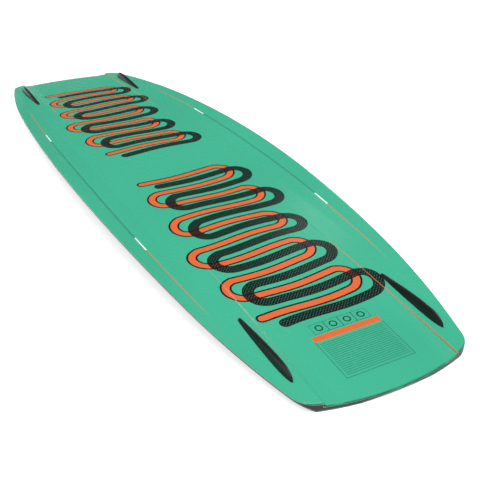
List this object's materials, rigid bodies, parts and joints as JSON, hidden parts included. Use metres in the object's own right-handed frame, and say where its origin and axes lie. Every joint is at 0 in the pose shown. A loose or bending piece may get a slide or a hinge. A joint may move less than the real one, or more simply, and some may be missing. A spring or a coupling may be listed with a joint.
{
  "type": "wakeboard",
  "caption": "Twin-tip wakeboard with a curved green base, channelled tips, thin black rails, long moulded fins at the corners and threaded inserts for bindings in its deck.",
  "frame": {"origin": "centre of the bounding box's underside: under the middle of the board, on the surface that the two tips' deck edges rest on, base side up", "axes": "+Y along the board from near tip to far tip, +X across it, +Z out of the base, away from the deck"},
  "size_m": [0.425, 1.4, 0.0495],
  "materials": {
    "base_print": "printed green base sheet, fine pebble gloss, orange and black graphic",
    "deck_film": "satin black deck sheet",
    "glass_laminate": "resin-wet glass fibre",
    "urethane": "cast black urethane",
    "core_foam": "closed-cell polyurethane foam",
    "glass_plate": "glass-epoxy board",
    "insert_brass": "turned brass",
    "ferrule_nylon": "black nylon",
    "stainless": "stainless steel",
    "fin_nylon": "satin charcoal moulded nylon"
  },
  "bodies": {
    "root": {"base_laminate": "glass_laminate", "base_sheet": "base_print", "binding_inserts_far_left": "insert_brass", "binding_inserts_far_right": "insert_brass", "binding_inserts_near_left": "insert_brass", "binding_inserts_near_right": "insert_brass", "deck_laminate": "glass_laminate", "deck_sheet": "deck_film", "fin_far_left": "fin_nylon", "fin_far_right": "fin_nylon", "fin_ferrules_far_left": "ferrule_nylon", "fin_ferrules_far_right": "ferrule_nylon", "fin_ferrules_near_left": "ferrule_nylon", "fin_ferrules_near_right": "ferrule_nylon", "fin_inserts_far_left": "insert_brass", "fin_inserts_far_right": "insert_brass", "fin_inserts_near_left": "insert_brass", "fin_inserts_near_right": "insert_brass", "fin_near_left": "fin_nylon", "fin_near_right": "fin_nylon", "fin_screws_far_left": "stainless", "fin_screws_far_right": "stainless", "fin_screws_near_left": "stainless", "fin_screws_near_right": "stainless", "fin_washers_far_left": "stainless", "fin_washers_far_right": "stainless", "fin_washers_near_left": "stainless", "fin_washers_near_right": "stainless", "foam_core": "core_foam", "insert_plate_far": "glass_plate", "insert_plate_near": "glass_plate", "rail_perimeter": "urethane"}
  },
  "joints": []
}
